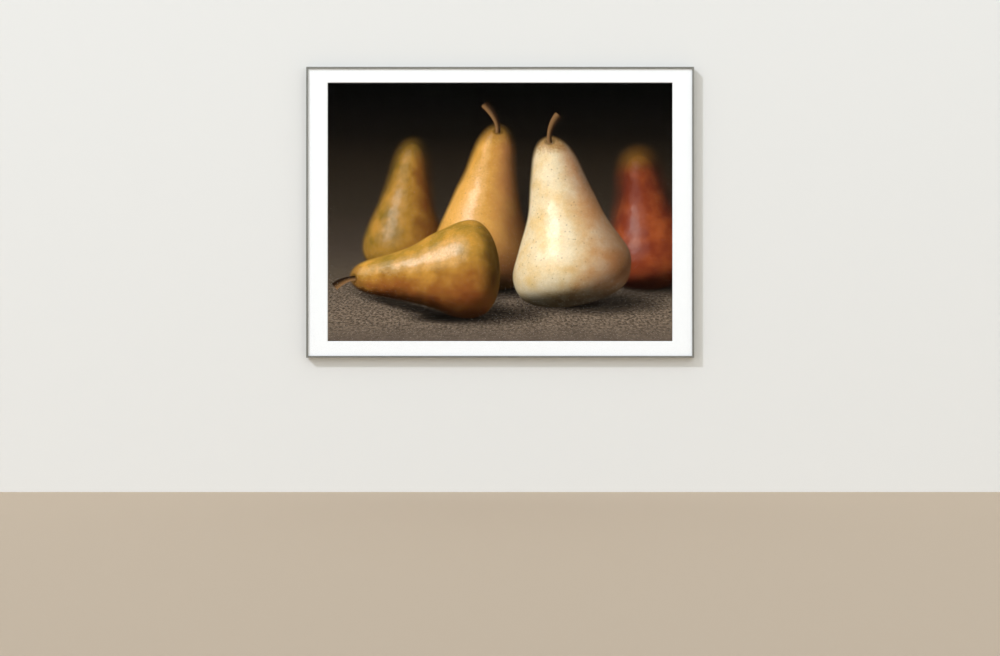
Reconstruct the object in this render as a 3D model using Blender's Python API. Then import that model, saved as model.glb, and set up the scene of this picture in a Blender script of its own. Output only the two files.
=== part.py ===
"""A framed print for a wall: a slim metal section frame, clear glazing, a white mat and a print.

X runs along the width, Y from the viewer to the wall and Z up. The wall is the plane y = 0.
The origin lies on the wall, midway between the two nails that the frame hangs on.
Every size is in metres.
"""

from math import cos, pi, radians, sin, sqrt, tan

import bmesh
import bpy
from mathutils import Euler, Vector

# The frame seen from the front
FRAME_WIDTH = 1.016
FRAME_HEIGHT = 0.762
FACE_WIDTH = 0.005

# The section of the frame's four rails: u runs inward from the outer edge, w forward from the back
FRAME_DEPTH = 0.020
WALL_THICKNESS = 0.0014
LIP_THICKNESS = 0.0012
CHANNEL_WIDTH = 0.012
CHANNEL_DEPTH = 0.0064
SLOT_START = 0.0036
SLOT_END = 0.0086
EDGE_RADIUS = 0.0005

# The window in the mat, through which the print shows
WINDOW_WIDTH = 0.903
WINDOW_HEIGHT = 0.677
WINDOW_RAISE = 0.001

# The sheets in the frame, from the front to the back
GLAZING_THICKNESS = 0.002
MAT_THICKNESS = 0.0015
PRINT_THICKNESS = 0.0004
MOUNT_THICKNESS = 0.0015
BACKING_THICKNESS = 0.003
SHEET_CLEARANCE = 0.001
PRINT_MARGIN = 0.020

# The gap that touching pieces keep
GAP = 0.0003

# The springs that press the sheets forward
SPRING_LENGTH = 0.064
SPRING_WIDTH = 0.014
SPRING_THICKNESS = 0.0005
SPRING_TAPER = 0.2
SPRING_TAPER_POWER = 8
SPRING_STATIONS = 12
SPRINGS_ALONG = {"top": (-0.30, 0.0, 0.30), "bottom": (-0.30, 0.0, 0.30),
                 "left": (-0.16, 0.16), "right": (-0.16, 0.16)}

# The angle plates and grub screws that draw the corners together
PLATE_ARM = 0.034
PLATE_THICKNESS = 0.002
PLATE_CORNER = 0.001
PLATE_BEND = 0.0005
SLOT_CLEARANCE = 0.0004
SCREW_RADIUS = 0.002
SCREW_FROM_CORNER = 0.025
DRIVE_WIDTH = 0.0007
DRIVE_DEPTH = 0.0009
CORNER_SCREW_TURNS = (55, 75)

# The two toothed hangers on the top rail
HANGER_OFFSET = 0.280
HANGER_WIDTH = 0.060
HANGER_TOP = 0.0015
HANGER_BOTTOM = 0.021
HANGER_THICKNESS = 0.0012
HANGER_CORNER = 0.002
TOOTH_COUNT = 7
TOOTH_PITCH = 0.007
TOOTH_DEPTH = 0.003
HANGER_SCREW_OFFSET = 0.021
HANGER_SCREW_TURNS = (50, 100)
HEAD_RADIUS = 0.0035
HEAD_HEIGHT = 0.0012
SHANK_RADIUS = 0.0017
NUT_LENGTH = 0.056

# The round pads that keep the frame off the wall
PAD_RADIUS = 0.005
PAD_THICKNESS = 0.0035
PAD_RIM = 0.0006
PAD_FROM_CORNER = 0.070

ROUND_SEGMENTS = 24
ARC_STEPS = 4

# The places that follow from these sizes
HANG_DROP = HANGER_BOTTOM - TOOTH_DEPTH
TOP_EDGE = HANG_DROP
BOTTOM_EDGE = TOP_EDGE - FRAME_HEIGHT
MIDDLE = (TOP_EDGE + BOTTOM_EDGE) / 2
SLOT_MIDDLE = (SLOT_START + SLOT_END) / 2
CHANNEL_INSIDE = CHANNEL_WIDTH - LIP_THICKNESS
WEB_BACK = CHANNEL_DEPTH - LIP_THICKNESS
HOLE_RADIUS = SCREW_RADIUS + GAP
CORNER_HOLES = [(SCREW_FROM_CORNER, SLOT_MIDDLE), (SLOT_MIDDLE, SCREW_FROM_CORNER)]
SHEET_WIDTH = FRAME_WIDTH - 2 * (WALL_THICKNESS + SHEET_CLEARANCE)
SHEET_HEIGHT = FRAME_HEIGHT - 2 * (WALL_THICKNESS + SHEET_CLEARANCE)

# The front face of each sheet, as w
GLAZING_FRONT = FRAME_DEPTH - WALL_THICKNESS - GAP
MAT_FRONT = GLAZING_FRONT - GLAZING_THICKNESS - GAP
PRINT_FRONT = MAT_FRONT - MAT_THICKNESS - GAP
MOUNT_FRONT = PRINT_FRONT - PRINT_THICKNESS - GAP
BACKING_FRONT = MOUNT_FRONT - MOUNT_THICKNESS - GAP
BACKING_BACK = BACKING_FRONT - BACKING_THICKNESS

# Each rail's turn about Y, the middle of its outer edge and its length
RAILS = {
    "top": (0, (0, TOP_EDGE), FRAME_WIDTH),
    "right": (90, (FRAME_WIDTH / 2, MIDDLE), FRAME_HEIGHT),
    "bottom": (180, (0, BOTTOM_EDGE), FRAME_WIDTH),
    "left": (-90, (-FRAME_WIDTH / 2, MIDDLE), FRAME_HEIGHT),
}


def clear_scene():
    for old in list(bpy.data.objects):
        bpy.data.objects.remove(old)


def finish(name, colour, roughness, metallic, alpha=1.0):
    """A plain material of one colour."""
    material = bpy.data.materials.new(name)
    material.use_nodes = True
    shader = material.node_tree.nodes["Principled BSDF"]
    shader.inputs["Base Color"].default_value = (*colour, 1.0)
    shader.inputs["Roughness"].default_value = roughness
    shader.inputs["Metallic"].default_value = metallic
    shader.inputs["Alpha"].default_value = alpha
    return material


def mesh_from(name, shape):
    """Close a bmesh off as a mesh with its faces pointing out."""
    bmesh.ops.recalc_face_normals(shape, faces=shape.faces)
    mesh = bpy.data.meshes.new(name)
    shape.to_mesh(mesh)
    shape.free()
    return mesh


def add_piece(name, mesh, material):
    """One named object with its own copy of a finish."""
    piece = bpy.data.objects.new(name, mesh)
    bpy.context.collection.objects.link(piece)
    if not mesh.materials:
        mesh.materials.append(None)
    piece.material_slots[0].link = "OBJECT"
    piece.material_slots[0].material = material.copy()
    piece.material_slots[0].material.name = name
    return piece


def place_on_rail(piece, side, along=0.0):
    """Move a piece from the rail's own axes, x along it and -z inward, to its place."""
    turn, (x, z), _ = RAILS[side]
    piece.rotation_euler = (0, radians(turn), 0)
    offset = Vector((along, 0, 0))
    offset.rotate(Euler((0, radians(turn), 0)))
    piece.location = Vector((x, -PAD_THICKNESS, z)) + offset


def rounded(corners):
    """An outline from corners (x, y, radius), with an arc where the radius isn't 0."""
    points = []
    for index, (x, y, radius) in enumerate(corners):
        corner = Vector((x, y))
        if radius == 0:
            points.append(corner)
            continue
        to_last = (Vector(corners[index - 1][:2]) - corner).normalized()
        to_next = (Vector(corners[(index + 1) % len(corners)][:2]) - corner).normalized()
        half_angle = to_last.angle(to_next) / 2
        centre = corner + (to_last + to_next).normalized() * radius / sin(half_angle)
        start = corner + to_last * radius / tan(half_angle) - centre
        end = corner + to_next * radius / tan(half_angle) - centre
        for step in range(ARC_STEPS + 1):
            points.append(centre + start.lerp(end, step / ARC_STEPS).normalized() * radius)
    return points


def closed_rings(name, rings):
    """A closed mesh through rings of points, with the first and the last ring filled."""
    shape = bmesh.new()
    rows = [[shape.verts.new(point) for point in ring] for ring in rings]
    for row, after in zip(rows, rows[1:]):
        for index in range(len(row)):
            near = (index + 1) % len(row)
            shape.faces.new((row[index], row[near], after[near], after[index]))
    shape.faces.new(rows[0])
    shape.faces.new(rows[-1])
    return mesh_from(name, shape)


def flat_plate(name, outline, front, thickness):
    """An outline of (x, u) points made into a plate whose front face is at w = front."""
    rings = [[(x, -w, -u) for x, u in outline] for w in (front - thickness, front)]
    return closed_rings(name, rings)


def cut_with(mesh, cutters):
    """The mesh with the cutters' shapes taken away."""
    body = bpy.data.objects.new("body", mesh)
    bpy.context.collection.objects.link(body)
    tools = []
    for cutter in cutters:
        tool = bpy.data.objects.new("cutter", cutter)
        bpy.context.collection.objects.link(tool)
        tools.append(tool)
        cut = body.modifiers.new("cut", "BOOLEAN")
        cut.operation = "DIFFERENCE"
        cut.solver = "EXACT"
        cut.object = tool
    bpy.context.view_layer.update()
    seen = body.evaluated_get(bpy.context.evaluated_depsgraph_get())
    result = bpy.data.meshes.new_from_object(seen)
    for used in [body, *tools]:
        bpy.data.objects.remove(used)
    return result


def turned(name, profile, x=0.0, u=0.0):
    """A round solid about w, centred on (x, u), through a profile of (radius, w)."""
    angles = [2 * pi * index / ROUND_SEGMENTS for index in range(ROUND_SEGMENTS)]
    rings = [[(x + radius * cos(a), -w, -u + radius * sin(a)) for a in angles] for radius, w in profile]
    return closed_rings(name, rings)


def round_bar(name, radius, start, end, x=0.0, u=0.0):
    """A round bar along w from start to end, centred on (x, u)."""
    return turned(name, [(radius, start), (radius, end)], x, u)


def block(name, low, high):
    """A box between two corners (x, u, w)."""
    outline = [(low[0], low[1]), (high[0], low[1]), (high[0], high[1]), (low[0], high[1])]
    return flat_plate(name, outline, high[2], high[2] - low[2])


def rail_mesh(name, length):
    """One mitred length of the frame's section."""
    section = rounded([
        (0, 0, EDGE_RADIUS),
        (0, FRAME_DEPTH, EDGE_RADIUS),
        (FACE_WIDTH, FRAME_DEPTH, EDGE_RADIUS),
        (FACE_WIDTH, FRAME_DEPTH - WALL_THICKNESS, 0),
        (WALL_THICKNESS, FRAME_DEPTH - WALL_THICKNESS, 0),
        (WALL_THICKNESS, CHANNEL_DEPTH, 0),
        (CHANNEL_WIDTH, CHANNEL_DEPTH, EDGE_RADIUS),
        (CHANNEL_WIDTH, 0, EDGE_RADIUS),
        (SLOT_END, 0, 0),
        (SLOT_END, LIP_THICKNESS, 0),
        (CHANNEL_INSIDE, LIP_THICKNESS, 0),
        (CHANNEL_INSIDE, WEB_BACK, 0),
        (WALL_THICKNESS, WEB_BACK, 0),
        (WALL_THICKNESS, LIP_THICKNESS, 0),
        (SLOT_START, LIP_THICKNESS, 0),
        (SLOT_START, 0, 0),
    ])
    half = length / 2 - GAP / sqrt(2)
    rings = [[(end * (half - u), -w, -u) for u, w in section] for end in (-1, 1)]
    return closed_rings(name, rings)


def build_rails(metal):
    for side, (_, _, length) in RAILS.items():
        rail = add_piece(f"frame_{side}", rail_mesh("rail", length), metal)
        place_on_rail(rail, side)


def rectangle(width, height, raised=0.0):
    """The corners (x, z) of an upright rectangle about the frame's middle."""
    low = MIDDLE + raised - height / 2
    high = MIDDLE + raised + height / 2
    return [(-width / 2, low), (width / 2, low), (width / 2, high), (-width / 2, high)]


def build_sheet(name, size, front, thickness, material, raised=0.0):
    """A flat rectangular sheet whose front face is at w = front."""
    corners = rectangle(*size, raised)
    depths = [-PAD_THICKNESS - front, -PAD_THICKNESS - front + thickness]
    rings = [[(x, y, z) for x, z in corners] for y in depths]
    add_piece(name, closed_rings(name, rings), material)


def build_mat(material):
    """A board with a window whose edges slope at 45 degrees, so that they open to the front."""
    front = -PAD_THICKNESS - MAT_FRONT
    back = front + MAT_THICKNESS
    outer = rectangle(SHEET_WIDTH, SHEET_HEIGHT)
    wide = rectangle(WINDOW_WIDTH + 2 * MAT_THICKNESS, WINDOW_HEIGHT + 2 * MAT_THICKNESS, WINDOW_RAISE)
    narrow = rectangle(WINDOW_WIDTH, WINDOW_HEIGHT, WINDOW_RAISE)
    loops = [(outer, front), (outer, back), (narrow, back), (wide, front)]
    shape = bmesh.new()
    rows = [[shape.verts.new((x, y, z)) for x, z in corners] for corners, y in loops]
    for row, after in zip(rows, rows[1:] + rows[:1]):
        for index in range(4):
            near = (index + 1) % 4
            shape.faces.new((row[index], row[near], after[near], after[index]))
    add_piece("mat", mesh_from("mat", shape), material)


def build_sheets():
    """The glazing, mat, print and boards, held between the face and the channel."""
    whole = (SHEET_WIDTH, SHEET_HEIGHT)
    print_size = (WINDOW_WIDTH + 2 * PRINT_MARGIN, WINDOW_HEIGHT + 2 * PRINT_MARGIN)
    clear = finish("glazing", (0.96, 0.97, 0.97), 0.05, 0.0, 0.2)
    white = finish("mat", (0.95, 0.95, 0.94), 0.9, 0.0)
    ink = finish("print", (0.16, 0.11, 0.07), 0.4, 0.0)
    card = finish("mount_board", (0.80, 0.78, 0.72), 0.9, 0.0)
    brown = finish("backing_board", (0.33, 0.21, 0.12), 0.8, 0.0)
    build_sheet("glazing", whole, GLAZING_FRONT, GLAZING_THICKNESS, clear)
    build_mat(white)
    build_sheet("print", print_size, PRINT_FRONT, PRINT_THICKNESS, ink, WINDOW_RAISE)
    build_sheet("mount_board", whole, MOUNT_FRONT, MOUNT_THICKNESS, card)
    build_sheet("backing_board", whole, BACKING_FRONT, BACKING_THICKNESS, brown)


def spring_mesh():
    """A bowed strip: its middle bears on the channel and its ends on the backing board."""
    low = CHANNEL_DEPTH + GAP
    rise = BACKING_BACK - GAP - SPRING_THICKNESS - low
    start = WALL_THICKNESS + SHEET_CLEARANCE
    rings = []
    for step in range(SPRING_STATIONS + 1):
        place = 2 * step / SPRING_STATIONS - 1
        x = place * SPRING_LENGTH / 2
        w = low + rise * place ** 2
        inset = SPRING_WIDTH * SPRING_TAPER * abs(place) ** SPRING_TAPER_POWER
        near, far = start + inset, start + SPRING_WIDTH - inset
        high = w + SPRING_THICKNESS
        rings.append([(x, -w, -near), (x, -w, -far), (x, -high, -far), (x, -high, -near)])
    return closed_rings("spring", rings)


def build_springs(steel):
    mesh = spring_mesh()
    for side, places in SPRINGS_ALONG.items():
        for number, along in enumerate(places, 1):
            spring = add_piece(f"spring_{side}_{number}", mesh, steel)
            place_on_rail(spring, side, along)


def angle_plate_mesh():
    """An L that lies in two rails' slots, about the outer corner, with a hole in each arm."""
    near = WALL_THICKNESS + SLOT_CLEARANCE
    far = CHANNEL_INSIDE - SLOT_CLEARANCE
    outline = rounded([
        (near, near, PLATE_CORNER),
        (PLATE_ARM, near, PLATE_CORNER),
        (PLATE_ARM, far, PLATE_CORNER),
        (far, far, PLATE_BEND),
        (far, PLATE_ARM, PLATE_CORNER),
        (near, PLATE_ARM, PLATE_CORNER),
    ])
    back = LIP_THICKNESS + GAP
    plate = flat_plate("angle_plate", outline, back + PLATE_THICKNESS, PLATE_THICKNESS)
    cutters = [round_bar("hole", HOLE_RADIUS, 0, WEB_BACK, x, u) for x, u in CORNER_HOLES]
    return cut_with(plate, cutters)


def grub_screw_mesh():
    """A headless screw from the slot's mouth to the channel's floor, slotted at its back end."""
    start = LIP_THICKNESS / 2
    bar = round_bar("grub_screw", SCREW_RADIUS, start, WEB_BACK - GAP)
    reach = 2 * SCREW_RADIUS
    drive = block("drive", (-reach, -DRIVE_WIDTH / 2, 0), (reach, DRIVE_WIDTH / 2, start + DRIVE_DEPTH))
    return cut_with(bar, [drive])


def build_corners(steel):
    """An angle plate and two grub screws in each corner."""
    plate_mesh = angle_plate_mesh()
    screw_mesh = grub_screw_mesh()
    middle = Vector((0, -PAD_THICKNESS, MIDDLE))
    corners = {"top_left": (0, -1, 1), "top_right": (90, 1, 1),
               "bottom_right": (180, 1, -1), "bottom_left": (-90, -1, -1)}
    for corner, (turn, side_x, side_z) in corners.items():
        plate = add_piece(f"angle_plate_{corner}", plate_mesh, steel)
        plate.rotation_euler = (0, radians(turn), 0)
        plate.location = middle + Vector((side_x * FRAME_WIDTH / 2, 0, side_z * FRAME_HEIGHT / 2))
        for number, ((x, u), screw_turn) in enumerate(zip(CORNER_HOLES, CORNER_SCREW_TURNS), 1):
            screw = add_piece(f"corner_screw_{corner}_{number}", screw_mesh, steel)
            screw.parent = plate
            screw.location = (x, 0, -u)
            screw.rotation_euler = (0, radians(screw_turn), 0)


def hanger_mesh():
    """A plate on the top rail's back, with teeth along its lower edge that sit on a nail."""
    half = HANGER_WIDTH / 2
    outline = rounded([
        (-half, HANGER_BOTTOM, HANGER_CORNER),
        (-half, HANGER_TOP, HANGER_CORNER),
        (half, HANGER_TOP, HANGER_CORNER),
        (half, HANGER_BOTTOM, HANGER_CORNER),
    ])
    first = TOOTH_COUNT * TOOTH_PITCH / 2
    for tooth in range(TOOTH_COUNT):
        start = first - tooth * TOOTH_PITCH
        outline.append(Vector((start, HANGER_BOTTOM)))
        outline.append(Vector((start - TOOTH_PITCH / 2, HANGER_BOTTOM - TOOTH_DEPTH)))
    outline.append(Vector((-first, HANGER_BOTTOM)))
    plate = flat_plate("hanger", outline, -GAP, HANGER_THICKNESS)
    cutters = [round_bar("hole", SHANK_RADIUS + GAP, -PAD_THICKNESS, GAP, x, SLOT_MIDDLE)
               for x in (-HANGER_SCREW_OFFSET, HANGER_SCREW_OFFSET)]
    return cut_with(plate, cutters)


def slot_nut_mesh():
    """A strip inside the slot that the hanger's screws pull against the lips."""
    near = WALL_THICKNESS + SLOT_CLEARANCE
    far = CHANNEL_INSIDE - SLOT_CLEARANCE
    back = LIP_THICKNESS + GAP
    half = NUT_LENGTH / 2
    strip = block("slot_nut", (-half, near, back), (half, far, back + PLATE_THICKNESS))
    cutters = [round_bar("hole", SHANK_RADIUS + GAP, 0, WEB_BACK, x, SLOT_MIDDLE)
               for x in (-HANGER_SCREW_OFFSET, HANGER_SCREW_OFFSET)]
    return cut_with(strip, cutters)


def hanger_screw_mesh():
    """A screw with a low domed head on the hanger's back and its shank in the slot."""
    seat = -2 * GAP - HANGER_THICKNESS
    dome = [(0.55, 1.0), (0.85, 0.75), (1.0, 0.3), (1.0, 0.0)]
    profile = [(out * HEAD_RADIUS, seat - up * HEAD_HEIGHT) for out, up in dome]
    profile += [(SHANK_RADIUS, seat), (SHANK_RADIUS, WEB_BACK - GAP)]
    reach = 2 * HEAD_RADIUS
    depth = seat - HEAD_HEIGHT / 2
    drive = block("drive", (-reach, -DRIVE_WIDTH / 2, -PAD_THICKNESS), (reach, DRIVE_WIDTH / 2, depth))
    return cut_with(turned("hanger_screw", profile), [drive])


def build_hangers(steel):
    """Two hangers, each with a nut strip and two screws."""
    plate_mesh = hanger_mesh()
    nut_mesh = slot_nut_mesh()
    screw_mesh = hanger_screw_mesh()
    for name, along in (("left", -HANGER_OFFSET), ("right", HANGER_OFFSET)):
        place_on_rail(add_piece(f"hanger_{name}", plate_mesh, steel), "top", along)
        place_on_rail(add_piece(f"slot_nut_{name}", nut_mesh, steel), "top", along)
        for number, (side, turn) in enumerate(zip((-1, 1), HANGER_SCREW_TURNS), 1):
            screw = add_piece(f"hanger_screw_{name}_{number}", screw_mesh, steel)
            place_on_rail(screw, "top", along + side * HANGER_SCREW_OFFSET)
            screw.location.z -= SLOT_MIDDLE
            screw.rotation_euler = (0, radians(turn), 0)


def pad_mesh():
    """A round pad whose flat back lies on the wall."""
    back = -PAD_THICKNESS
    profile = [(PAD_RADIUS - PAD_RIM, back), (PAD_RADIUS, back + PAD_RIM), (PAD_RADIUS, -GAP)]
    return turned("wall_pad", profile, u=SLOT_MIDDLE)


def build_pads(rubber):
    mesh = pad_mesh()
    along = FRAME_WIDTH / 2 - PAD_FROM_CORNER
    places = {"top_left": ("top", -along), "top_right": ("top", along),
              "bottom_left": ("bottom", along), "bottom_right": ("bottom", -along)}
    for name, (side, place) in places.items():
        place_on_rail(add_piece(f"wall_pad_{name}", mesh, rubber), side, place)


def main():
    clear_scene()
    metal = finish("frame", (0.24, 0.235, 0.21), 0.38, 1.0)
    steel = finish("steel", (0.55, 0.55, 0.56), 0.35, 1.0)
    rubber = finish("pads", (0.06, 0.06, 0.06), 0.85, 0.0)
    build_rails(metal)
    build_sheets()
    build_springs(steel)
    build_corners(steel)
    build_hangers(steel)
    build_pads(rubber)


main()
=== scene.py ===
"""The look of a framed print on a wall: its metal, mat, print, glazing and fittings.

The solids come packed and keep their shapes. X runs along the width, Y from the viewer to the
wall and Z up. Every size is in metres.
"""

from math import cos, radians, sin

import bmesh
import bpy
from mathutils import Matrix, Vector


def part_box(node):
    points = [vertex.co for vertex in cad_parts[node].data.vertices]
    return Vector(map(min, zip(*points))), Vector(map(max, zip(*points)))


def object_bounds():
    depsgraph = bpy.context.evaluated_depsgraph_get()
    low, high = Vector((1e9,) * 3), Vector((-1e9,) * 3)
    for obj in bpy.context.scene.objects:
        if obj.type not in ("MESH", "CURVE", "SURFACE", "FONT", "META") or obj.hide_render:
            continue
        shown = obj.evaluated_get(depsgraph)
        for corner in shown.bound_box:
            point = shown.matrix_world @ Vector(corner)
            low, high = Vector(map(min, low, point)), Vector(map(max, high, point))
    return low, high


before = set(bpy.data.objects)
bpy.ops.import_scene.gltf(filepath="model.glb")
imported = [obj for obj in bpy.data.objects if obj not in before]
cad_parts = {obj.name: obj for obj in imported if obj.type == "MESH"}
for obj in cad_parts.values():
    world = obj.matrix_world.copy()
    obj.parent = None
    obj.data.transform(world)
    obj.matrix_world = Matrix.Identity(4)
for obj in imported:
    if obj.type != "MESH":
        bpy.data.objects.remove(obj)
cad_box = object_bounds()

# The photograph's view: its size, the scale on the frame's face, and where the frame's middle
# and the floor's far edge lie in it
IMAGE_WIDTH = 1000
IMAGE_HEIGHT = 656
METRES_PER_PIXEL = 0.002618
FRAME_MIDDLE_PIXEL = (500.1, 212.25)
FLOOR_LINE_PIXEL = 492
CAMERA_DISTANCE = 5.0
SENSOR_WIDTH = 36.0

# The wall behind the frame and the floor
WALL_GAP = 0.0002
WALL_REACH = 7.0
WALL_HEIGHT = 4.5
OPENING_INSET = 0.001
COLLAR_GAP = 0.0003

# Paints of the wall and the floor, as 0 to 255 on a screen
WALL_PAINT = (228, 227, 222)
FLOOR_PAINT = (190, 172, 149)

# The studio's fill light, from the sides and from straight ahead of the wall
SIDE_FILL = 0.54
FRONT_FILL = 1.38
FILL_COLOUR = (0.951, 0.985, 0.998, 1.0)

# Each soft lamp's place from the frame's middle, its width, power and colour
KEY_LAMP = (Vector((-29.2, -27.3, 28.8)), 2.7, 11900, (0.813, 0.865, 1.0))
BACK_LAMP = (Vector((2.2, 3.4, 2.4)), 1.6, 90, (1.0, 1.0, 1.0))

# How far from the frame's outer front edge its finish is rubbed: no more wear, and full wear
ARRIS_WEAR = (0.0007, 0.0002)

# The share of light that the coated glazing mirrors straight on, and what a slant adds to it
COATED_GLOSS = 0.0006
SLANT_GLOSS = 0.7

# The window in the mat
WINDOW_WIDTH = 0.903
WINDOW_HEIGHT = 0.677
WINDOW_RAISE = 0.001


def linear(red, green, blue):
    """A colour given as 0 to 255 on a screen, as light."""
    shares = (channel / 255 for channel in (red, green, blue))
    return tuple(s / 12.92 if s <= 0.04045 else ((s + 0.055) / 1.055) ** 2.4 for s in shares)


class Signal:
    """One output in a finish's shader. Arithmetic on it adds Math nodes."""

    def __init__(self, finish, socket):
        self.finish = finish
        self.socket = socket

    def math(self, operation, *values):
        sockets = dict(enumerate(values))
        return self.finish.node("ShaderNodeMath", {"operation": operation}, sockets)

    def __add__(self, other):
        return self.math("ADD", self, other)

    def __radd__(self, other):
        return self.math("ADD", other, self)

    def __sub__(self, other):
        return self.math("SUBTRACT", self, other)

    def __rsub__(self, other):
        return self.math("SUBTRACT", other, self)

    def __mul__(self, other):
        return self.math("MULTIPLY", self, other)

    def __truediv__(self, other):
        return self.math("DIVIDE", self, other)

    def __rtruediv__(self, other):
        return self.math("DIVIDE", other, self)

    def __pow__(self, power):
        return self.math("POWER", self, power)

    def __abs__(self):
        return self.math("ABSOLUTE", self)

    def root(self):
        return self.math("SQRT", self.at_least(0.0))

    def at_least(self, low):
        return self.math("MAXIMUM", self, low)

    def at_most(self, high):
        return self.math("MINIMUM", self, high)

    def rise(self, low, high):
        """0 below low and 1 above high, with a smooth step between; the step falls if high is less."""
        if low > high:
            return 1 - self.rise(high, low)
        settings = {"interpolation_type": "SMOOTHSTEP"}
        sockets = {0: self, 1: low, 2: high, 3: 0.0, 4: 1.0}
        return self.finish.node("ShaderNodeMapRange", settings, sockets)

    def between(self, low, high):
        """A straight scale from the ends 0 and 1 to two other values."""
        return self * (high - low) + low


class Finish:
    """A material, and the calls that add nodes to it."""

    def __init__(self, name):
        self.material = bpy.data.materials.new(name)
        self.material.use_nodes = True
        self.tree = self.material.node_tree
        self.shader = self.tree.nodes["Principled BSDF"]
        self.place = self.node("ShaderNodeTexCoord", out=3)
        self.x, self.y, self.z = (self.node("ShaderNodeSeparateXYZ", None, {0: self.place}, out)
                                  for out in range(3))

    def node(self, kind, settings=None, sockets=None, out=0):
        """Add a node, make its settings, fill its sockets with values or links, and give an output."""
        node = self.tree.nodes.new(kind)
        for name, value in (settings or {}).items():
            if name == "stops":
                self.set_stops(node.color_ramp, value)
            else:
                setattr(node, name, value)
        for key, value in (sockets or {}).items():
            self.fill(node.inputs[key], value)
        return Signal(self, node.outputs[out])

    def set_stops(self, ramp, stops):
        while len(ramp.elements) < len(stops):
            ramp.elements.new(1.0)
        for element, (position, colour) in zip(ramp.elements, stops):
            element.position = position
            element.color = (*colour, 1.0)

    def fill(self, socket, value):
        if isinstance(value, Signal):
            self.tree.links.new(value.socket, socket)
        elif socket.type == "RGBA" and len(value) == 3:
            socket.default_value = (*value, 1.0)
        else:
            socket.default_value = value

    def set(self, **values):
        """Set or link the shader's sockets, named with _ for a space."""
        for name, value in values.items():
            self.fill(self.shader.inputs[name.replace("_", " ")], value)

    def vector(self, x, y, z):
        return self.node("ShaderNodeCombineXYZ", None, {0: x, 1: y, 2: z})

    def stretched(self, x, y, z):
        """The place on the piece, scaled along each axis."""
        sockets = {0: self.place, 1: (x, y, z)}
        return self.node("ShaderNodeVectorMath", {"operation": "MULTIPLY"}, sockets)

    def noise(self, scale, detail=2.0, place=None, rough=0.5, warp=0.0):
        sockets = {"Vector": place or self.place, "Scale": scale, "Detail": detail,
                   "Roughness": rough, "Distortion": warp}
        return self.node("ShaderNodeTexNoise", {"noise_dimensions": "3D"}, sockets)

    def cells(self, scale, place=None):
        """How far each spot is from the nearest of many scattered points."""
        sockets = {"Vector": place or self.place, "Scale": scale}
        return self.node("ShaderNodeTexVoronoi", None, sockets)

    def mix(self, share, first, second):
        """Two colours mixed by a share from 0 to 1."""
        settings = {"data_type": "RGBA", "clamp_factor": True}
        return self.node("ShaderNodeMix", settings, {0: share, 6: first, 7: second}, 2)

    def tint(self, colour, strength):
        """A colour made lighter or darker by a value."""
        return self.node("ShaderNodeVectorMath", {"operation": "SCALE"}, {0: colour, 3: strength})

    def plus(self, first, second):
        return self.node("ShaderNodeVectorMath", {"operation": "ADD"}, {0: first, 1: second})

    def ramp(self, share, stops):
        return self.node("ShaderNodeValToRGB", {"stops": stops}, {0: share})

    def dot(self, first, second):
        sockets = {0: first, 1: second}
        return self.node("ShaderNodeVectorMath", {"operation": "DOT_PRODUCT"}, sockets, 1)

    def unit(self, vector):
        return self.node("ShaderNodeVectorMath", {"operation": "NORMALIZE"}, {0: vector})

    def relief(self, height, depth, strength=1.0):
        """Bumps of a depth in metres from a height of 0 to 1."""
        sockets = {"Strength": strength, "Distance": depth, "Height": height}
        self.set(Normal=self.node("ShaderNodeBump", None, sockets))


# The frame's corners, its middle and its rails' back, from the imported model
FRAME_LOW, FRAME_HIGH = cad_box
FRAME_CENTRE = (FRAME_LOW + FRAME_HIGH) / 2
RAIL_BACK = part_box("frame_top")[1].y
WINDOW_CENTRE_Z = FRAME_CENTRE.z + WINDOW_RAISE

# The picture's own measure: 1 is half the window's height, from the window's middle
PICTURE_UNIT = WINDOW_HEIGHT / 2

# A pear's outline along its length, from -1 at the base to 1 at the neck
PEAR_CURVE = 0.55
PEAR_TAPER = 0.62
PEAR_BELLY = 0.72

# A stalk's start on that length, and half its width at both ends
STALK_START = 0.93
STALK_ROOT = 0.019
STALK_TIP = 0.032

# How fast a blur takes the fine detail off a skin
BLUR_HIDES = 4


class Fruit:
    """A pear in the picture: its place, turn and size in picture measure, and its colours."""

    def __init__(self, place, turn, half_length, radius, skin, shade, blush, blush_from, shadows,
                 seed, blur=0.02, light=1.0, sway=0.0, stalk=0.0, stalk_bend=0.5):
        self.place = place
        self.turn = radians(turn)
        self.half_length = half_length
        self.radius = radius
        self.skin = skin
        self.shade = shade
        self.blush = blush
        self.blush_from = blush_from
        self.shadows = shadows
        self.seed = seed
        self.blur = blur
        self.light = light
        self.sway = sway
        self.stalk = stalk
        self.stalk_bend = stalk_bend
        self.crisp = max(0.0, 1 - BLUR_HIDES * blur)

    def turned(self, direction):
        """A direction in the picture, as seen along the fruit's own axes."""
        x, y, z = direction
        across = x * cos(self.turn) + y * sin(self.turn)
        along = -x * sin(self.turn) + y * cos(self.turn)
        return tuple(Vector((across, along, z)).normalized())


# Directions in the picture: to its light, to its gleam, down, to the light off the slate, to the rim's
PICTURE_LIGHT = (-0.50, 0.62, 0.60)
PICTURE_GLANCE = (-0.36, 0.40, 0.84)
PICTURE_DOWN = (0.0, -1.0, 0.0)
BOUNCE_FROM = (0.15, -0.85, 0.50)
RIM_FROM = (0.92, 0.30, -0.25)

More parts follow.
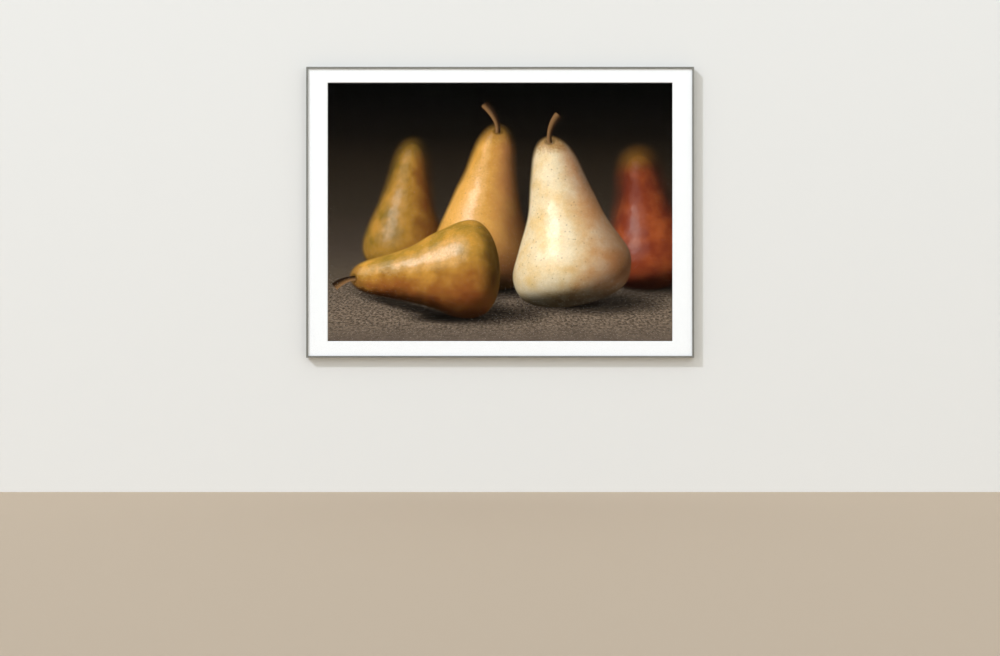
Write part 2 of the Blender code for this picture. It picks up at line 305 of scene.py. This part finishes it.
AMBER = linear(228, 170, 86)
OCHRE = linear(208, 152, 64)
CREAM = linear(242, 222, 184)
STRAW = linear(232, 196, 132)
BLUSH = linear(214, 138, 88)
RUST = linear(176, 88, 44)
BRICK = linear(124, 50, 30)
OLIVE = linear(150, 118, 44)
RUSSET = linear(146, 96, 50)
DEEP_BROWN = linear(96, 58, 26)
DARK_BARK = linear(38, 24, 14)
PALE_BARK = linear(142, 104, 66)
GLEAM_COLOUR = (1.0, 0.97, 0.93)


def standing(x, base, width):
    """The shadows of an upright fruit: a soft one to its right and a dark one under it."""
    return [
        ((x + 0.55 * width, base + 0.02), (1.75 * width, 0.125), 0.87, 0),
        ((x, base + 0.015), (0.90 * width, 0.060), 0.85, 0),
    ]


# From the back to the front; a shadow is its place, its reach, its strength and its tilt
FRUITS = [
    Fruit((1.13, -0.08), 7, 0.52, 0.35, RUST, BRICK, BRICK, (-0.5, -0.2, 0.6),
          standing(1.15, -0.58, 0.33), seed=21, blur=0.30, light=1.02),
    Fruit((-0.72, 0.02), -5, 0.51, 0.31, OCHRE, OLIVE, RUST, (0.7, -0.4, 0.4),
          standing(-0.70, -0.48, 0.29), seed=31, blur=0.17, light=0.82, sway=0.03),
    Fruit((-0.11, 0.03), -7, 0.63, 0.39, AMBER, OCHRE, BLUSH, (0.8, -0.3, 0.4),
          standing(-0.08, -0.59, 0.37), seed=3, blur=0.07, light=1.08, sway=0.06,
          stalk=0.17, stalk_bend=-0.9),
    Fruit((0.51, -0.07), 9, 0.66, 0.44, CREAM, STRAW, BLUSH, (0.9, -0.1, 0.3),
          [((0.28, -0.22), (0.34, 0.66), 0.50, 0)] + standing(0.53, -0.72, 0.40), seed=8,
          blur=0.03, light=1.11, sway=-0.07, stalk=0.16, stalk_bend=0.8),
    Fruit((-0.58, -0.48), 95, 0.58, 0.36, OCHRE, OLIVE, RUST, (0.2, -0.8, 0.5),
          [((-0.18, -0.79), (0.70, 0.110), 0.85, 0), ((-0.38, -0.82), (0.38, 0.050), 0.85, 0),
           ((-0.76, -0.715), (0.48, 0.060), 0.88, -14), ((-0.10, -0.52), (0.26, 0.36), 0.50, 0)],
          seed=14, blur=0.025, light=1.18, sway=0.05, stalk=0.13, stalk_bend=-0.5),
]


def paint_ground(finish, x, y):
    """Dark slate that runs back into a black room, sharp in a band near the front."""
    depth = finish.ramp(y * 0.5 + 0.5, [
        (0.0, linear(100, 87, 75)),
        (0.08, linear(112, 97, 82)),
        (0.18, linear(106, 92, 78)),
        (0.26, linear(84, 73, 61)),
        (0.36, linear(67, 57, 48)),
        (0.50, linear(50, 42, 33)),
        (0.68, linear(34, 27, 19)),
        (0.80, linear(15, 11, 7)),
        (0.92, linear(3, 2, 1)),
        (1.0, linear(1, 1, 0)),
    ])
    away = 1 / (0.25 - y.at_most(0.0))
    slate = finish.vector(x * away, away * 2.4, 0.0)
    grain = finish.noise(44.0, 2.0, slate, rough=0.6)
    flecks = finish.noise(64.0, 1.0, slate)
    pits = finish.noise(21.0, 2.0, slate)
    lumps = finish.noise(7.0, 3.0, slate)
    sharp = y.rise(-0.36, -0.62) * y.rise(-1.02, -0.80)
    bright = flecks.rise(0.58, 0.70) * 0.9
    dark = flecks.rise(0.42, 0.30) * 0.4
    rough = (grain.rise(0.34, 0.66) - 0.5) * 1.1 + bright - dark
    soft = (lumps - 0.5) * 0.5 + (pits - 0.5) * 0.45
    level = 1 + rough * sharp.between(0.14, 1.0) * y.rise(-0.10, -0.40) + soft * y.rise(0.15, -0.4)
    return finish.tint(depth, level.at_least(0.12))


def paint_shadow(finish, colour, x, y, place, reach, strength, tilt):
    """Darken the picture softly inside an ellipse."""
    right = x - place[0]
    up = y - place[1]
    long = (right * cos(radians(tilt)) + up * sin(radians(tilt))) / reach[0]
    short = (up * cos(radians(tilt)) - right * sin(radians(tilt))) / reach[1]
    away = long * long + short * short
    return finish.tint(colour, 1 - away.rise(1.0, 0.0) * strength)


def pear_skin(finish, fruit, place, facing, along, mottle, fine):
    """A pear's own colours, with its freckles and russet where it is sharp."""
    skin = finish.mix(mottle.rise(0.30, 0.74), fruit.skin, fruit.shade)
    blush = finish.dot(facing, fruit.turned(fruit.blush_from)) + (mottle - 0.5) * 0.9
    skin = finish.mix(blush.rise(0.10, 1.10) * 0.8, skin, fruit.blush)
    skin = finish.mix(along.rise(0.72, 1.0) * 0.6, skin, OLIVE)
    if fruit.crisp:
        freckle = finish.cells(12.0, place).rise(0.22, 0.10) * fine.rise(0.34, 0.58)
        skin = finish.mix(freckle * (0.55 * fruit.crisp), skin, DEEP_BROWN)
        ends = along.rise(0.60, 0.98) + along.rise(-0.60, -0.95) * 0.7
        russet = (ends + (fine - 0.5) * 1.6 + (mottle - 0.5) * 1.2).rise(0.45, 1.05)
        skin = finish.mix(russet * (0.65 * fruit.crisp), skin, RUSSET)
    return finish.tint(skin, fine.between(1 - 0.16 * fruit.crisp, 1 + 0.14 * fruit.crisp))


def lit_skin(finish, fruit, skin, facing, along, fine):
    """A pear's skin under the picture's light, with its gleam."""
    lit = finish.dot(facing, fruit.turned(PICTURE_LIGHT))
    bounce = finish.dot(facing, fruit.turned(BOUNCE_FROM)).at_least(0.0)
    rim = finish.dot(facing, fruit.turned(RIM_FROM)).rise(0.60, 1.0)
    under = finish.dot(facing, fruit.turned(PICTURE_DOWN)).rise(0.45, 1.0)
    key = ((lit + 0.20) / 1.20).at_least(0.0) ** 1.3
    level = (key * 1.06 + 0.04 + bounce * 0.12 + rim * 0.07) * (1 - under * 0.8) * fruit.light
    gleam = finish.dot(facing, fruit.turned(PICTURE_GLANCE)) - along.at_least(0.2) * 0.03
    shine = gleam.rise(0.90, 1.0) * 0.11 + gleam.rise(0.972, 1.0) * 0.28
    glow = shine * fine.between(0.45, 1.35) * (fruit.light * (0.35 + 0.65 * fruit.crisp))
    return finish.plus(finish.tint(skin, level), finish.tint(GLEAM_COLOUR, glow))


def paint_fruit(finish, colour, x, y, fruit):
    """One pear, as a turned solid lit from the upper left, over what is painted so far."""
    right = x - fruit.place[0]
    up = y - fruit.place[1]
    along = (up * cos(fruit.turn) - right * sin(fruit.turn)) / fruit.half_length
    straight = (right * cos(fruit.turn) + up * sin(fruit.turn)) / fruit.radius
    dents = finish.noise(1.3, 1.0, finish.vector(straight + fruit.seed, along, 0.0)) - 0.5
    across = (straight - along * along * fruit.sway) * (1 + dents * 0.22)

    # The outline's radius squared, its slope and the depth of the surface
    bulge = (along * PEAR_CURVE - PEAR_TAPER) * along + PEAR_BELLY
    slope = along * (2 * PEAR_CURVE) - PEAR_TAPER
    room = 1 - along * along
    outline = room * bulge * bulge
    inside = outline - across * across
    depth = inside.root()
    lean = (room * slope * bulge - along * bulge * bulge) * (-fruit.radius / fruit.half_length)

    # The skin, whose marks follow the fruit's own roundness
    skin_place = finish.vector(across + fruit.seed, along * 1.5, depth)
    mottle = finish.noise(2.2, 3.0, skin_place, rough=0.55)
    dimple = finish.noise(5.0, 2.0, skin_place) - 0.5
    fine = finish.noise(24.0, 3.0, skin_place)
    facing = finish.unit(finish.vector(across + dimple * 0.22, lean + dimple * 0.16, depth))
    skin = pear_skin(finish, fruit, skin_place, facing, along, mottle, fine)
    body = lit_skin(finish, fruit, skin, facing, along, fine)
    painted = finish.mix(inside.rise(-fruit.blur, fruit.blur), colour, body)
    if fruit.stalk:
        return paint_stalk(finish, painted, across, along, fruit)
    return painted


def paint_stalk(finish, colour, across, along, fruit):
    """A short bent stalk with a cut end, in a small hollow on the pear's neck."""
    length = fruit.stalk + (1 - STALK_START) * fruit.half_length
    rise = (along - STALK_START) * (fruit.half_length / length)
    bend = fruit.stalk_bend * fruit.stalk
    slope = rise * (2 * bend / length)
    half_width = rise.rise(0.15, 1.1).between(STALK_ROOT, STALK_TIP) * (1 + slope * slope).root()
    side = (across * fruit.radius - rise * rise * bend) / half_width
    tip = rise + (across * fruit.radius - bend) * (2 * bend / (length * length))
    wide = across / 0.13
    high = (along - 0.95) / 0.05
    hollow = wide * wide + high * high
    colour = finish.tint(colour, 1 - hollow.rise(1.0, 0.2) * 0.55)
    mask = abs(side).rise(1.10, 0.80) * rise.rise(-0.02, 0.04) * tip.rise(1.02, 0.96)
    bark = finish.mix(side.rise(0.6, -0.8), DARK_BARK, PALE_BARK)
    return finish.mix(mask, colour, bark)


def picture(finish):
    """The printed picture: pears on dark slate, in a pool of light from the upper left."""
    x = finish.x / PICTURE_UNIT
    y = (finish.z - WINDOW_CENTRE_Z) / PICTURE_UNIT
    colour = paint_ground(finish, x, y)
    for fruit in FRUITS:
        for shadow in fruit.shadows:
            colour = paint_shadow(finish, colour, x, y, *shadow)
        colour = paint_fruit(finish, colour, x, y, fruit)
    grain = finish.noise(1500.0, 1.0)
    return finish.tint(colour, grain.between(0.90, 1.10))


def print_paper():
    """Lustre photographic paper with the picture printed on it."""
    finish = Finish("print_paper")
    pebble = finish.noise(2200.0, 2.0)
    finish.set(Base_Color=picture(finish), Roughness=pebble.between(0.30, 0.48),
               Specular_IOR_Level=0.01)
    finish.relief(pebble, 0.00003)
    return finish.material


def anodised_metal(name, along):
    """Satin warm grey aluminium, brushed along one axis, a little brighter on its rubbed edges."""
    finish = Finish(name)
    fine = [2600.0, 2600.0, 2600.0]
    fine["xyz".index(along)] = 14.0
    broad = [240.0, 240.0, 240.0]
    broad["xyz".index(along)] = 3.0
    hairline = finish.noise(1.0, 3.0, finish.stretched(*fine), rough=0.65)
    streak = finish.noise(1.0, 2.0, finish.stretched(*broad))
    cloud = finish.noise(9.0, 3.0)
    across, middle, half = {
        "x": (finish.z, FRAME_CENTRE.z, (FRAME_HIGH.z - FRAME_LOW.z) / 2),
        "z": (finish.x, FRAME_CENTRE.x, (FRAME_HIGH.x - FRAME_LOW.x) / 2),
    }[along]
    from_side = half - abs(across - middle)
    from_front = finish.y - FRAME_LOW.y
    arris = from_side.rise(*ARRIS_WEAR) * from_front.rise(*ARRIS_WEAR)
    rubbed = arris * finish.noise(60.0, 4.0).rise(0.38, 0.66)
    colour = finish.mix(streak.rise(0.3, 0.7), linear(125, 124, 118), linear(139, 137, 130))
    colour = finish.tint(colour, hairline.between(0.80, 1.20))
    colour = finish.mix(rubbed * 0.6, colour, linear(190, 188, 182))
    rough = 0.34 + hairline * 0.12 + cloud * 0.08 - rubbed * 0.08
    finish.set(Base_Color=colour, Metallic=1.0, Roughness=rough)
    finish.relief(hairline, 0.00002, 0.6)
    return finish.material


def mat_board():
    """White rag board with a fine fibre surface, and a cut bevel round the window."""
    finish = Finish("mat_board")
    fibre = finish.noise(900.0, 5.0, rough=0.7)
    felt = finish.noise(140.0, 3.0)
    strand = finish.noise(1.0, 4.0, finish.stretched(500.0, 500.0, 1800.0), rough=0.8)
    colour = finish.mix(felt.rise(0.3, 0.7), (0.955, 0.953, 0.945), (0.972, 0.971, 0.965))
    finish.set(Base_Color=colour, Roughness=fibre.between(0.86, 0.98))
    finish.relief(fibre * 0.6 + strand * 0.4, 0.00006, 0.7)
    return finish.material


def mount_card():
    finish = Finish("mount_card")
    fibre = finish.noise(600.0, 4.0)
    colour = finish.mix(fibre, linear(214, 208, 190), linear(232, 227, 212))
    finish.set(Base_Color=colour, Roughness=fibre.between(0.85, 0.97))
    finish.relief(fibre, 0.00005)
    return finish.material


def hardboard():
    """Brown fibreboard: matted fibres, darker blotches and a few scuffs on its smooth side."""
    finish = Finish("backing_hardboard")
    fibre = finish.noise(1.0, 6.0, finish.stretched(420.0, 420.0, 900.0), rough=0.8)
    crossed = finish.noise(1.0, 5.0, finish.stretched(1000.0, 420.0, 380.0), rough=0.8)
    blotch = finish.noise(7.0, 5.0, rough=0.6)
    chips = finish.cells(260.0)
    mark_place = finish.stretched(26.0, 26.0, 420.0)
    scuff = finish.noise(1.0, 3.0, mark_place, rough=0.5, warp=0.8).rise(0.66, 0.76)
    mat = fibre * 0.5 + crossed * 0.5
    colour = finish.mix(mat.rise(0.30, 0.70), linear(112, 78, 50), linear(160, 120, 82))
    colour = finish.tint(colour, blotch.between(0.78, 1.20))
    colour = finish.mix(chips.rise(0.16, 0.06) * 0.5, colour, linear(70, 46, 28))
    colour = finish.mix(scuff * 0.16, colour, linear(184, 152, 116))
    finish.set(Base_Color=colour, Roughness=0.62 + mat * 0.2 - scuff * 0.1)
    finish.relief(mat, 0.00012, 0.6)
    return finish.material


def zinc_plate():
    """Bright zinc on pressed steel, with a faint spangle and a yellowish cast in places."""
    finish = Finish("zinc_plate")
    spangle = finish.cells(320.0)
    haze = finish.noise(60.0, 4.0)
    scratch = finish.noise(1.0, 3.0, finish.stretched(220.0, 220.0, 2400.0), rough=0.7)
    colour = finish.mix(haze.rise(0.35, 0.7), linear(196, 198, 202), linear(206, 200, 184))
    colour = finish.tint(colour, spangle.between(0.88, 1.06))
    finish.set(Base_Color=colour, Metallic=1.0, Roughness=0.26 + haze * 0.16 + scratch * 0.10)
    finish.relief(scratch * 0.6 + spangle * 0.4, 0.00002, 0.5)
    return finish.material


def blued_spring():
    """Tempered strip, blue to straw where the heat ran."""
    finish = Finish("blued_spring")
    heat = finish.noise(34.0, 3.0)
    roll = finish.noise(1.0, 3.0, finish.stretched(900.0, 900.0, 900.0), rough=0.7)
    colour = finish.ramp(heat, [
        (0.30, linear(84, 94, 122)),
        (0.50, linear(116, 124, 142)),
        (0.68, linear(156, 138, 112)),
    ])
    finish.set(Base_Color=finish.tint(colour, roll.between(0.9, 1.1)), Metallic=1.0,
               Roughness=0.28 + roll * 0.14)
    finish.relief(roll, 0.00001, 0.5)
    return finish.material


def pad_rubber():
    finish = Finish("pad_rubber")
    skin = finish.noise(1400.0, 3.0)
    dust = finish.noise(180.0, 4.0)
    colour = finish.mix(dust.rise(0.45, 0.8) * 0.5, linear(34, 34, 35), linear(84, 82, 78))
    finish.set(Base_Color=colour, Roughness=skin.between(0.72, 0.92))
    finish.relief(skin, 0.00005, 0.6)
    return finish.material


def clear_sheet():
    """Coated acrylic: light passes, and hardly any is mirrored straight on, but more at a slant."""
    finish = Finish("clear_acrylic")
    tree = finish.tree
    gloss = finish.node("ShaderNodeBsdfGlossy", None, {"Color": (1.0, 1.0, 1.0), "Roughness": 0.03})
    through = finish.node("ShaderNodeBsdfTransparent", None, {"Color": (0.994, 0.997, 0.995)})
    slant = finish.node("ShaderNodeLayerWeight", None, {"Blend": 0.5}, 1)
    mirrored = slant ** 5.0 * SLANT_GLOSS + COATED_GLOSS
    mixed = finish.node("ShaderNodeMixShader", None, {0: mirrored, 1: through, 2: gloss})
    tree.links.new(mixed.socket, tree.nodes["Material Output"].inputs["Surface"])
    tree.nodes.remove(finish.shader)
    return finish.material


def dress_nodes():
    """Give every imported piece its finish."""
    metal = {"top": anodised_metal("anodised_lengthwise", "x"),
             "left": anodised_metal("anodised_upright", "z")}
    metal["bottom"] = metal["top"]
    metal["right"] = metal["left"]
    zinc = zinc_plate()
    finishes = {
        "glazing": clear_sheet(),
        "mat": mat_board(),
        "print": print_paper(),
        "mount_board": mount_card(),
        "backing_board": hardboard(),
        "spring": blued_spring(),
        "angle_plate": zinc,
        "corner_screw": zinc,
        "hanger": zinc,
        "slot_nut": zinc,
        "wall_pad": pad_rubber(),
    }
    for side, material in metal.items():
        finishes[f"frame_{side}"] = material
    for name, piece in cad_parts.items():
        kind = next(key for key in finishes if name == key or name.startswith(key + "_"))
        piece.material_slots[0].material = finishes[kind]


def stage_piece(name, shape, material):
    mesh = bpy.data.meshes.new(name)
    shape.to_mesh(mesh)
    shape.free()
    mesh.materials.append(material)
    piece = bpy.data.objects.new(name, mesh)
    bpy.context.scene.collection.objects.link(piece)
    return piece


def rectangle(left, right, low, high):
    return [(left, low), (right, low), (right, high), (left, high)]


def build_wall(floor_level):
    """A wall behind the frame, open behind the frame's back so that it shows from there too."""
    finish = Finish("wall_paint")
    roller = finish.noise(260.0, 3.0)
    finish.set(Base_Color=linear(*WALL_PAINT), Roughness=0.92)
    finish.relief(roller, 0.0001, 0.15)
    outer = rectangle(-WALL_REACH, WALL_REACH, floor_level, floor_level + WALL_HEIGHT)
    inner = rectangle(FRAME_LOW.x + OPENING_INSET, FRAME_HIGH.x - OPENING_INSET,
                      FRAME_LOW.z + OPENING_INSET, FRAME_HIGH.z - OPENING_INSET)
    rings = [(outer, WALL_GAP), (inner, WALL_GAP), (inner, RAIL_BACK + COLLAR_GAP)]
    shape = bmesh.new()
    rows = [[shape.verts.new((x, y, z)) for x, z in corners] for corners, y in rings]
    for row, after in zip(rows, rows[1:]):
        for index in range(4):
            near = (index + 1) % 4
            shape.faces.new((row[index], row[near], after[near], after[index]))
    stage_piece("wall", shape, finish.material)


def build_floor(level):
    finish = Finish("floor")
    finish.set(Base_Color=linear(*FLOOR_PAINT), Roughness=0.85)
    shape = bmesh.new()
    corners = rectangle(-WALL_REACH, WALL_REACH, -WALL_REACH, WALL_REACH)
    shape.faces.new([shape.verts.new((x, y, level)) for x, y in corners])
    stage_piece("floor", shape, finish.material)


def add_camera():
    """A level camera square to the wall, with the photograph's framing."""
    pixel = METRES_PER_PIXEL
    x = FRAME_CENTRE.x - (FRAME_MIDDLE_PIXEL[0] - IMAGE_WIDTH / 2) * pixel
    z = FRAME_CENTRE.z + (FRAME_MIDDLE_PIXEL[1] - IMAGE_HEIGHT / 2) * pixel
    lens = bpy.data.cameras.new("camera")
    lens.sensor_width = SENSOR_WIDTH
    lens.lens = SENSOR_WIDTH * CAMERA_DISTANCE / (IMAGE_WIDTH * pixel)
    camera = bpy.data.objects.new("camera", lens)
    camera.location = (x, FRAME_LOW.y - CAMERA_DISTANCE, z)
    camera.rotation_euler = (radians(90), 0, 0)
    bpy.context.scene.collection.objects.link(camera)
    bpy.context.scene.camera = camera
    return camera


def add_softbox(name, offset, size, power, colour):
    """A square lamp that faces the frame's middle from an offset."""
    lamp = bpy.data.lights.new(name, "AREA")
    lamp.shape = "SQUARE"
    lamp.size = size
    lamp.energy = power
    lamp.color = colour
    softbox = bpy.data.objects.new(name, lamp)
    softbox.location = FRAME_CENTRE + offset
    softbox.rotation_euler = (-offset).to_track_quat("-Z", "Y").to_euler()
    bpy.context.scene.collection.objects.link(softbox)


def light_scene():
    """A key light from the upper left front over a broad fill, and a soft lamp for the back."""
    add_softbox("key", *KEY_LAMP)
    add_softbox("back", *BACK_LAMP)
    world = bpy.data.worlds.new("studio")
    world.use_nodes = True
    tree = world.node_tree
    direction = tree.nodes.new("ShaderNodeTexCoord").outputs["Generated"]
    facing = tree.nodes.new("ShaderNodeSeparateXYZ")
    strength = tree.nodes.new("ShaderNodeMapRange")
    ends = {"From Min": 0.0, "From Max": -1.0, "To Min": SIDE_FILL, "To Max": FRONT_FILL}
    for name, value in ends.items():
        strength.inputs[name].default_value = value
    sky = tree.nodes["Background"]
    sky.inputs["Color"].default_value = FILL_COLOUR
    tree.links.new(direction, facing.inputs["Vector"])
    tree.links.new(facing.outputs["Y"], strength.inputs["Value"])
    tree.links.new(strength.outputs["Result"], sky.inputs["Strength"])
    bpy.context.scene.world = world
    bpy.context.scene.view_settings.view_transform = "Standard"


def main():
    camera = add_camera()
    drop = (FLOOR_LINE_PIXEL - IMAGE_HEIGHT / 2) * METRES_PER_PIXEL
    reach = (CAMERA_DISTANCE - FRAME_LOW.y) / CAMERA_DISTANCE
    floor_level = camera.location.z - drop * reach
    dress_nodes()
    build_wall(floor_level)
    build_floor(floor_level)
    light_scene()


main()
